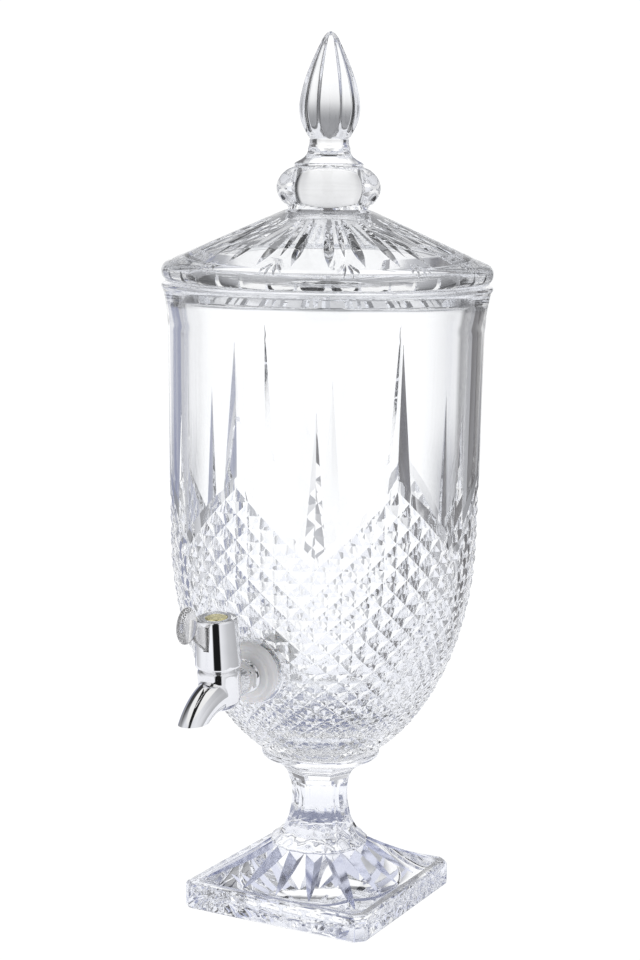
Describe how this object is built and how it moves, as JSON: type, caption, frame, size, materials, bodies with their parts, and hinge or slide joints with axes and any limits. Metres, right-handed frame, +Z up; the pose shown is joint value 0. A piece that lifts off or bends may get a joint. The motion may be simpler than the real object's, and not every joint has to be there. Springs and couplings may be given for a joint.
{
  "type": "glass beverage dispenser",
  "caption": "Tall round cut-glass jar on a square pedestal, with a loose conical lid and flame finial and a chromed quarter-turn tap low on the front, for serving drinks.",
  "frame": {"origin": "centre of the underside of the square foot, on the jar's axis", "axes": "+Z up along the jar's axis, the tap points to -Y, +X to the right seen from the tap side"},
  "size_m": [0.2014, 0.27, 0.537],
  "materials": {
    "clear_glass": "polished clear pressed glass",
    "chrome": "mirror chrome plating",
    "clear_plastic": "clear moulded plastic",
    "pale_gold": "pale gold plating",
    "silicone": "translucent silicone",
    "white_plastic": "moulded white plastic",
    "black_rubber": "matte nitrile rubber",
    "steel": "plain stainless steel"
  },
  "bodies": {
    "stand": {"glass_jar": "clear_glass", "glass_pedestal": "clear_glass", "tap_body": "chrome", "outer_washer": "silicone", "inner_seal": "silicone", "backing_washer": "white_plastic", "lock_nut": "white_plastic", "bonnet_ring": "chrome"},
    "tap_head": {"tap_sleeve": "chrome", "lever": "clear_plastic", "cap_disc": "pale_gold", "valve_plug": "white_plastic", "plug_oring_upper": "black_rubber", "plug_oring_lower": "black_rubber", "head_screw": "steel", "screw_washer": "steel"},
    "lid": {"glass_lid": "clear_glass", "lid_finial": "clear_glass"}
  },
  "joints": [
    {"name": "lid_lift", "type": "slide", "parent": "stand", "child": "lid", "axis": [0, 0, 1], "range_m": [0, 0.2]},
    {"name": "tap_turn", "type": "hinge", "parent": "stand", "child": "tap_head", "pos_m": [0, -0.1231, 0.16071], "axis": [0, -0.1045, 0.9945], "range_deg": [0, 90]}
  ]
}
